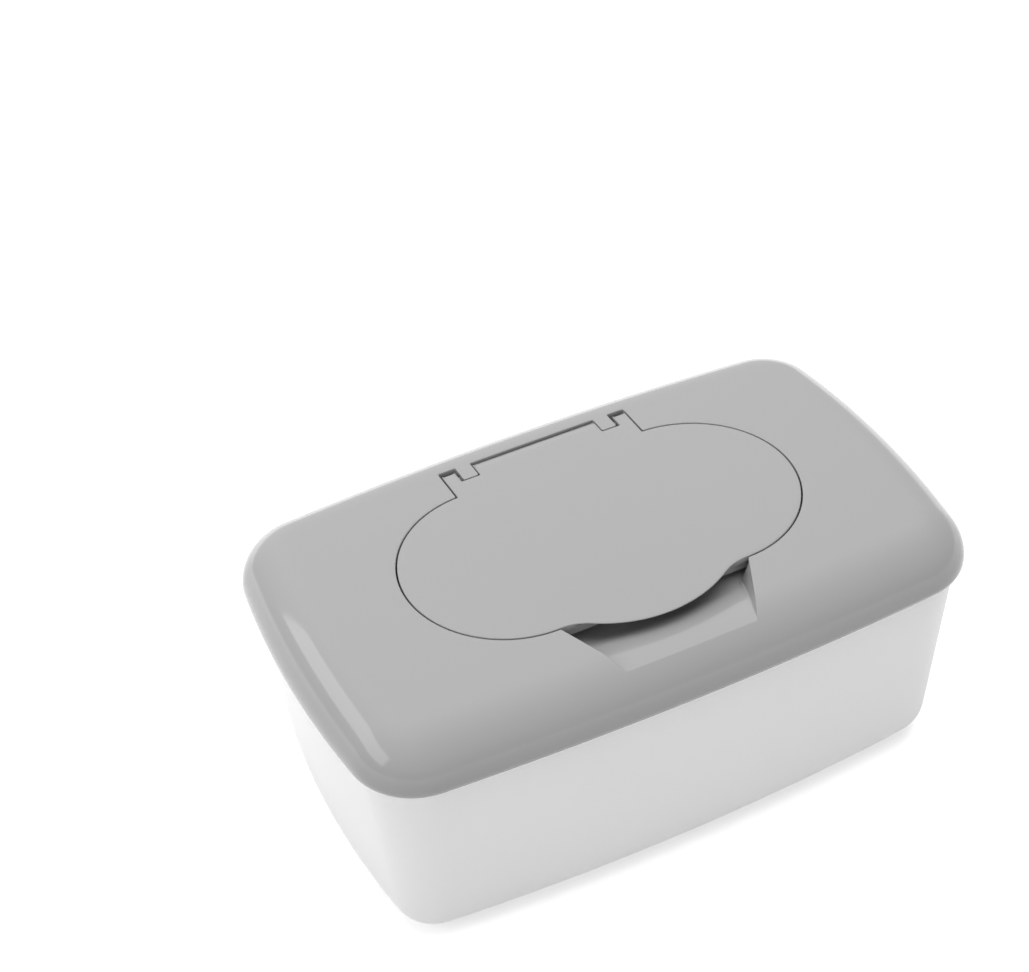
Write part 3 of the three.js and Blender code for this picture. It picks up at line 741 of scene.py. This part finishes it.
@dataclass
class Flap:
    """The flap: a crowned plate with a thumb tab, notches for the hooks and a curled tail."""

    crown: Crown = Crown()
    track: Racetrack = Racetrack()
    hinge: Hinge = Hinge()
    radius: float = 33.4
    tab_reach: float = 9.0
    tab_radius: float = 42.0
    tab_blend: float = 17.0
    edge_round: float = 0.32
    thickness: float = 2.0
    tail_thickness: float = 1.6
    thin_start: float = 36.0
    thin_length: float = 6.0
    tab_chamfer: float = 2.4
    finger_side: float = 32.5
    finger_front: float = 32.89
    finger_end: float = 48.4
    notch_outer: float = 28.1
    notch_inner: float = 21.6
    notch_front: float = 39.49
    tail_end: float = 50.3
    knuckle: float = 3.1
    tail_back: float = 3.2
    finger_back: float = 2.6
    roll_start: float = 43.154
    roll_squareness: float = 3.4
    sink_depth: float = 0.05
    sinks: tuple[Place, ...] = ((-14.0, 33.0, 3.2), (14.0, 33.0, 3.2), (0.0, 36.5, 2.4))
    pin_radius: float = 1.5
    pin_span: Span = (20.4, 30.3)
    rib_radius: float = 2.9
    rib_span: Span = (19.2, 21.5)
    middle_rib_span: Span = (-1.2, 1.2)
    finger_radius: float = 2.85
    finger_span: Span = (28.2, 32.4)
    finger_flat: float = 2.4
    columns: int = 150

    def front_edge(self, x: Array) -> Array:
        """The front edge over x: the tab's arc, the hollow blend arc, and the straight edge."""
        straight = self.track.centre_y - self.radius
        centre = straight - self.tab_reach + self.tab_radius
        blend_y = straight - self.tab_blend
        apart = self.tab_radius + self.tab_blend
        blend_x = math.sqrt(apart**2 - (centre - blend_y) ** 2)
        meet = blend_x * self.tab_radius / apart
        across = np.abs(x)
        tab = centre - np.sqrt(np.maximum(self.tab_radius**2 - across**2, 0))
        hollow = blend_y + np.sqrt(np.maximum(self.tab_blend**2 - (blend_x - across) ** 2, 0))
        return np.where(across < meet, tab, np.where(across < blend_x, hollow, straight))

    def loops(self) -> tuple[Array, Array, Array]:
        """The edge in developed plan, its outward normals, and the middle line it is joined to.

        Past the roll's start the second coordinate is the length along the roll. Front and rear
        columns share the places on the middle line, so that the surface closes along it.

        Returns:
            The edge, the normals and the places on the middle line, each as (n, 2).
        """
        track = self.track
        corners = [
            (self.finger_side, self.finger_front, 0.4),
            (self.finger_side, self.finger_end, 0.6),
            (self.notch_outer, self.finger_end, 0.6),
            (self.notch_outer, self.notch_front, 0.5),
            (self.notch_inner, self.notch_front, 0.5),
            (self.notch_inner, self.tail_end, 0.6),
            (0, self.tail_end, 0),
        ]
        rear = spread(rounded([(*track.corner(self.radius, 1), 0), *corners]))
        keys = [(self.finger_side, 33.2), *((x, y) for x, y, _ in corners[1:])]
        line = [31.6, 31.3, 29.4, 28.9, 20.8, 20.4, 0.0]
        middle_x = np.interp(lengths_of(rear), key_lengths(rear, keys), line)
        partner = np.stack([middle_x, np.full(len(rear), track.centre_y)], 1)
        places = even_places(rear, partner, self.columns, 0.9, 1.6)
        rear, middle_x = take(rear, places), np.interp(places, np.arange(len(rear)), middle_x)
        end = track.end(self.radius, -90, track.end_angle, 170)[:-1]
        front_x = np.sort(middle_x[middle_x < track.straight - 1e-6])
        front_x = front_x[np.concatenate([[True], np.diff(front_x) > 1e-6])]
        front = np.stack([front_x, self.front_edge(front_x)], 1)
        edge = mirrored_loop(np.concatenate([front, end, rear]))
        half_middle = np.concatenate([front_x, np.full(len(end), track.straight), middle_x])
        middle = np.concatenate([half_middle, -half_middle[::-1][1:-1]])
        return edge, loop_normals(edge), np.stack([middle, np.full(len(edge), track.centre_y)], 1)

    def place(self, plan: Array, share: Array | float) -> Array:
        """A developed place at a share of the thickness down.

        Up to the roll the height is the crown's. Past it the skin turns about the hinge axis, its
        angle falling by the length over the knuckle's radius, and its section is a squarish curve:
        with p the squareness, the radius times (|cos| ** p + |sin| ** p) ** (-1 / p). The fingers
        reach less far back than the tail, fading from the knuckle's radius between 1.5 and 0.9
        radians. Shallow dents stand for the sink marks over the hinge's ribs.

        Args:
            plan: developed places, as (n, 2).
            share: 0 for the upper skin and 1 for the lower, one value or one for each place.

        Returns:
            The places in space, as (n, 3).
        """
        x, y = plan.T
        slope = 2 * self.crown.drop_across * self.roll_start / self.crown.outline.half_width**2
        begin = QUARTER - math.atan(slope)
        toward_tail = np.clip((y - self.thin_start) / self.thin_length, 0, 1)
        thinner = (self.thickness - self.tail_thickness) * toward_tail
        depth = share * (self.thickness - thinner)
        angle = begin - np.maximum(y - self.roll_start, 0) / self.knuckle
        rolled = y > self.roll_start
        lift = (self.crown.height(x, self.roll_start) - self.hinge.z) / math.sin(begin)
        in_finger = np.abs(x) > (self.notch_inner + self.notch_outer) / 2
        back = np.where(in_finger, self.finger_back, self.tail_back)
        back = back + (self.knuckle - back) * np.clip((angle - 0.9) / 0.6, 0, 1)
        sink = np.zeros_like(x)
        for mark_x, mark_y, size in self.sinks:
            sink += np.exp(-((x - mark_x) ** 2 + 2.5 * (y - mark_y) ** 2) / (2 * size**2))
        flat_z = self.crown.height(x, y) - depth - self.sink_depth * sink * (1 - share)
        cosine, sine, power = np.cos(angle), np.sin(angle), self.roll_squareness
        bulge = (np.abs(cosine) ** power + np.abs(sine) ** power) ** (-1 / power)
        bulge = np.where(angle > 0, bulge, 1.0)
        roll_y = self.hinge.y + (back * bulge - depth) * cosine
        roll_z = self.hinge.z + (lift * bulge - depth) * sine
        return np.stack([x, np.where(rolled, roll_y, y), np.where(rolled, roll_z, flat_z)], 1)

    def plate(self) -> Piece:
        """The plate: from the middle line out to the rounded edge and back underneath.

        The lower edge is chamfered forward at the notches' front, for the hooks, and inward round
        the tab, for the finger. Both chamfers fade in over a millimetre and a half.
        """
        edge, normal, middle = self.loops()
        inset = edge - normal * self.edge_round
        rows = [self.place(middle + (inset - middle) * p, 0.0) for p in np.linspace(0, 1, 26)]
        for in_by, down in quarter_round(self.edge_round, np.radians([22, 45, 68, 90])):
            rows.append(self.place(edge - normal * in_by, down / self.thickness))
        across, y, margin, fade = np.abs(edge[:, 0]), edge[:, 1], 0.3, 1.5
        in_notch = (across > self.notch_inner - margin) & (across < self.notch_outer + margin) & (y > 39)
        forward = np.where(in_notch, np.clip((self.notch_front + 1.51 - y) / fade, 0, 1), 0.0)
        lower = edge - np.stack([np.zeros_like(y), forward], 1)
        on_tab = np.clip((self.track.centre_y - self.radius - margin - y) / fade, 0, 1)
        lower -= normal * (self.tab_chamfer * on_tab)[:, None]
        for part in (0.5, 0.92):
            rows.append(self.place(edge + (lower - edge) * part, part))
        inner = lower - normal * 0.15
        rows += [self.place(middle + (inner - middle) * p, 1.0) for p in np.linspace(1, 0, 14)]
        return surface_mesh("flap_shell", rows, closed_rows=False)

    def skirt(self) -> Piece:
        """The underside skirt: a thin wall with a rounded lower edge, carried round a racetrack."""
        right = self.track.end(1.0, -90, 90, 60)
        path = np.concatenate([right, [0, 2 * self.track.centre_y] - right])
        out = self.track.outward(path)
        middle = path - out
        profile = [(32.4, 90.0), (32.4, 85.8), (32.2, 85.5), (31.7, 85.4), (31.2, 85.5), (31.0, 85.8)]
        profile += [(31.0, 90.0)]
        rows = [joined(middle + out * radius, z) for radius, z in profile]
        sunk = self.crown.height(*rows[0][:, :2].T) - self.thickness / 2
        for row in (rows[0], rows[-1]):
            row[:, 2] = sunk
        return surface_mesh("flap_skirt", rows)

    def disc(self, radius: float, span: Span, rear: float = math.inf) -> Piece:
        """A round bar on the hinge axis with softened ends, cut flat at the rear where it is short.

        Args:
            radius: its radius.
            span: its left and right end.
            rear: how far behind the axis it may reach.

        Returns:
            The bar, to be joined to the plate.
        """
        circle = arc(0, 0, 1, 0, 360, 41)[:-1]
        low, high = span
        soft, eased = 0.2, 0.93
        ends = [(low, NEARLY_A_POINT), (low, eased), (low + soft, 1)]
        ends += [(high - soft, 1), (high, eased), (high, NEARLY_A_POINT)]
        rows = []
        for x, share in ends:
            section = circle * radius * share
            section[:, 0] = np.minimum(section[:, 0], rear)
            places = section + [self.hinge.y, self.hinge.z]
            rows.append(np.column_stack([np.full(len(section), x), places]))
        return surface_mesh("flap_knuckle", rows, closed_rows=False)

    def latch(self) -> Piece:
        """The latch rib behind the collar's front: a bar with a rounded lower edge."""
        section = [[-28.4, 90.5], [-28.4, 87.0], [-28.2, 86.7], [-27.8, 86.6], [-27.4, 86.7]]
        section += [[-27.2, 87.0], [-27.2, 90.5]]
        return bar("flap_latch", np.array(section), (-6, 6))

    def build(self) -> Piece:
        """The plate with its skirt, latch, knuckles, rib and pins joined on."""
        made = self.plate()
        parts = [self.skirt(), self.latch(), self.disc(self.rib_radius, self.middle_rib_span)]
        for side in (-1, 1):
            parts.append(self.disc(self.rib_radius, on_side(self.rib_span, side)))
            finger = on_side(self.finger_span, side)
            parts.append(self.disc(self.finger_radius, finger, rear=self.finger_flat))
            parts.append(self.disc(self.pin_radius, on_side(self.pin_span, side)))
        for part in parts:
            combine(made, part, "UNION")
        smooth(made)
        return made


def noise(tree: Tree, scale: float, detail: float) -> Socket:
    """The value of a noise pattern on Object coordinates."""
    place = tree.nodes.new("ShaderNodeTexCoord")
    pattern = tree.nodes.new("ShaderNodeTexNoise")
    pattern.inputs["Scale"].default_value = scale
    pattern.inputs["Detail"].default_value = detail
    tree.links.new(place.outputs["Object"], pattern.inputs["Vector"])
    return pattern.outputs["Fac"]


def blend(tree: Tree, share: Socket, low: Place, high: Place) -> Socket:
    """A colour between two, by a share from 0 to 1."""
    mix = tree.nodes.new("ShaderNodeMix")
    mix.data_type = "RGBA"
    mix.inputs[6].default_value = (*low, 1)
    mix.inputs[7].default_value = (*high, 1)
    tree.links.new(share, mix.inputs[0])
    return mix.outputs[2]


def remap(tree: Tree, value: Socket, given: Span, wanted: Span) -> Socket:
    """A value moved from one range to another, and kept in it."""
    remapped = tree.nodes.new("ShaderNodeMapRange")
    remapped.inputs["From Min"].default_value, remapped.inputs["From Max"].default_value = given
    remapped.inputs["To Min"].default_value, remapped.inputs["To Max"].default_value = wanted
    tree.links.new(value, remapped.inputs["Value"])
    return remapped.outputs["Result"]


def combined(tree: Tree, operation: str, one: Socket, other: Socket) -> Socket:
    """Two values put through a maths operation."""
    node = tree.nodes.new("ShaderNodeMath")
    node.operation = operation
    tree.links.new(one, node.inputs[0])
    tree.links.new(other, node.inputs[1])
    return node.outputs[0]


def seen_ray(tree: Tree) -> Socket:
    """One where a ray comes from the camera, a gloss or a see-through surface."""
    rays = tree.nodes.new("ShaderNodeLightPath").outputs
    shown = combined(tree, "MAXIMUM", rays["Is Camera Ray"], rays["Is Glossy Ray"])
    return combined(tree, "MAXIMUM", shown, rays["Is Transmission Ray"])


@dataclass(frozen=True)
class Plastic:
    """A moulded plastic: its colour, gloss, faint tone variation and fine surface texture.

    The grain's height is in millimetres, and its scale is in cells to the metre.
    """

    name: str
    colour: Place
    roughness: float
    grain_scale: float
    grain_height: float
    tone_shift: float
    subsurface: float = 0.0
    subsurface_scale: float = 0.003
    refraction: float = 1.49
    cloud_scale: float = 14.0
    gloss_shift: float = 0.15

    def make(self) -> bpy.types.Material:
        """The node material, its patterns on Object coordinates."""
        material = bpy.data.materials.new(self.name)
        material.use_nodes = True
        tree = material.node_tree
        shader = tree.nodes["Principled BSDF"]
        shader.inputs["IOR"].default_value = self.refraction
        shader.inputs["Subsurface Weight"].default_value = self.subsurface
        shader.inputs["Subsurface Radius"].default_value = (1.0, 1.0, 1.0)
        shader.inputs["Subsurface Scale"].default_value = self.subsurface_scale
        cloud = noise(tree, self.cloud_scale, 3.0)
        red, green, blue = (part * (1 - self.tone_shift) for part in self.colour)
        tree.links.new(blend(tree, cloud, (red, green, blue), self.colour), shader.inputs["Base Color"])
        low, high = self.roughness * (1 - self.gloss_shift), self.roughness * (1 + self.gloss_shift)
        tree.links.new(remap(tree, cloud, (0.0, 1.0), (low, high)), shader.inputs["Roughness"])
        bump = tree.nodes.new("ShaderNodeBump")
        bump.inputs["Strength"].default_value = 1.0
        bump.inputs["Distance"].default_value = self.grain_height * METRES
        tree.links.new(noise(tree, self.grain_scale, 2.0), bump.inputs["Height"])
        tree.links.new(bump.outputs["Normal"], shader.inputs["Normal"])
        return material


@dataclass(frozen=True)
class Lamp:
    """A rectangular area lamp that faces its aim, and shows in gloss or only lights."""

    name: str
    place: Place
    aim: Place
    size: Span
    power: float
    in_gloss: bool = False

    def build(self) -> None:
        """The lamp in the scene."""
        data = bpy.data.lights.new(self.name, "AREA")
        data.shape = "RECTANGLE"
        data.size, data.size_y = self.size
        data.energy = self.power
        lamp = placed(self.name, data)
        lamp.location = self.place
        lamp.visible_glossy = self.in_gloss
        lamp.rotation_mode = "QUATERNION"
        lamp.rotation_quaternion = (Vector(self.aim) - Vector(self.place)).to_track_quat("-Z", "Y")


LAMPS = (
    Lamp("overhead", (0.1, 0.1, 1.6), (0, 0.0, 0.08), (1.6, 1.3), 23.0),
    Lamp("front_fill", (-0.3, -1.7, 0.5), (0, 0, 0.05), (2.2, 1.0), 8.5),
    Lamp("left_softbox", (-1.28, 0.34, 0.78), (-0.09, -0.03, 0.088), (1.9, 0.62), 8.0, in_gloss=True),
    Lamp("rear", (0.2, 1.5, 0.9), (0, 0, 0.08), (1.6, 0.8), 8.0),
)


@dataclass
class Studio:
    """A pale floor, a white surround, soft lamps and the camera at the photograph's angle.

    Lengths here are metres, angles degrees, and the focal length is in the photograph's pixels.
    """

    camera_place: Place = (-0.232607, -0.456846, 0.546814)
    azimuth: float = -24.14
    elevation: float = 40.55
    roll: float = -3.57
    focal_pixels: float = 2255.06
    picture_width: float = 1029.0
    sensor: float = 36.0
    lamps: tuple[Lamp, ...] = LAMPS
    world_light: float = 0.28
    floor_reach: float = 6.0
    floor_drop: float = 0.0002
    floor_shown: float = 0.9
    floor_bounced: float = 0.45
    glow_near: float = 0.45
    glow_starts: float = 0.3
    glow_full: float = 1.2

    def camera(self) -> None:
        """The camera: its backward axis from azimuth and elevation, turned by the roll."""
        a, e, turn = (math.radians(v) for v in (self.azimuth, self.elevation, self.roll))
        back = Vector((math.sin(a) * math.cos(e), -math.cos(a) * math.cos(e), math.sin(e)))
        right = (-back).cross(Vector((0, 0, 1))).normalized()
        up = right.cross(-back)
        turned = right * math.cos(turn) + up * math.sin(turn)
        upright = up * math.cos(turn) - right * math.sin(turn)
        data = bpy.data.cameras.new("camera")
        data.sensor_width = self.sensor
        data.lens = self.focal_pixels / self.picture_width * self.sensor
        camera = placed("camera", data)
        axes = Matrix((turned, upright, back)).transposed().to_4x4()
        camera.matrix_world = Matrix.Translation(self.camera_place) @ axes
        bpy.context.scene.camera = camera

    def surround(self) -> None:
        """A world that is white to the camera, gloss and see-through rays, and soft light otherwise."""
        world = bpy.data.worlds.new("surround")
        bpy.context.scene.world = world
        world.use_nodes = True
        tree = world.node_tree
        background = tree.nodes["Background"]
        background.inputs["Color"].default_value = (1, 1, 1, 1)
        level = remap(tree, seen_ray(tree), (0.0, 1.0), (self.world_light, 1.0))
        tree.links.new(level, background.inputs["Strength"])

    def floor(self) -> None:
        """A plain floor that looks white, keeps the shadow, and throws back less light.

        It glows where it is seen: faintly round the object, and fully past the distance where the
        lamps no longer reach it.
        """
        mesh = bpy.data.meshes.new("floor")
        reach = self.floor_reach
        corners = [(-reach, -reach, 0), (reach, -reach, 0), (reach, reach, 0), (-reach, reach, 0)]
        mesh.from_pydata(corners, [], [(0, 1, 2, 3)])
        floor = placed("floor", mesh)
        floor.location.z = -self.floor_drop
        material = bpy.data.materials.new("floor_paint")
        material.use_nodes = True
        tree = material.node_tree
        shader = tree.nodes["Principled BSDF"]
        shader.inputs["Roughness"].default_value = 0.9
        seen = seen_ray(tree)
        paint = blend(tree, seen, (self.floor_bounced,) * 3, (self.floor_shown,) * 3)
        tree.links.new(paint, shader.inputs["Base Color"])
        away = tree.nodes.new("ShaderNodeVectorMath")
        away.operation = "LENGTH"
        place = tree.nodes.new("ShaderNodeTexCoord")
        tree.links.new(place.outputs["Object"], away.inputs[0])
        distances = (self.glow_starts, self.glow_full)
        fade = remap(tree, away.outputs["Value"], distances, (self.glow_near, 1.0))
        shader.inputs["Emission Color"].default_value = (1, 1, 1, 1)
        tree.links.new(combined(tree, "MULTIPLY", seen, fade), shader.inputs["Emission Strength"])
        mesh.materials.append(material)

    def build(self) -> None:
        """Everything that isn't part of the object."""
        self.camera()
        self.floor()
        self.surround()
        for lamp in self.lamps:
            lamp.build()
        bpy.context.scene.view_settings.view_transform = "Standard"


TUB_PLASTIC = Plastic(
    "milky_polypropylene",
    colour=(0.95, 0.95, 0.952),
    roughness=0.36,
    grain_scale=900.0,
    grain_height=0.004,
    tone_shift=0.02,
    subsurface=0.2,
)
LID_PLASTIC = Plastic(
    "grey_lid_polypropylene",
    colour=(0.338, 0.338, 0.339),
    roughness=0.09,
    grain_scale=700.0,
    grain_height=0.0015,
    tone_shift=0.025,
)
FLAP_PLASTIC = replace(
    LID_PLASTIC, name="grey_flap_polypropylene", roughness=0.14, grain_scale=800.0, grain_height=0.002
)


def dress(piece: Piece, body: Body, finish: Plastic) -> None:
    """Gives a piece its finish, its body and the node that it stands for.

    Args:
        piece: the piece's object.
        body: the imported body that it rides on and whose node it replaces.
        finish: what it is made of.
    """
    piece.data.materials.clear()
    piece.data.materials.append(finish.make())
    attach(piece, body.value)
    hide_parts(body.value)
    log.info("%s: %d faces", piece.name, len(piece.data.polygons))


def main() -> None:
    """Builds the three mouldings and the studio round them."""
    dress(Tub().build(), Body.TUB, TUB_PLASTIC)
    dress(Lid().build(), Body.LID, LID_PLASTIC)
    dress(Flap().build(), Body.FLAP, FLAP_PLASTIC)
    Studio().build()


if __name__ == "__main__":
    main()
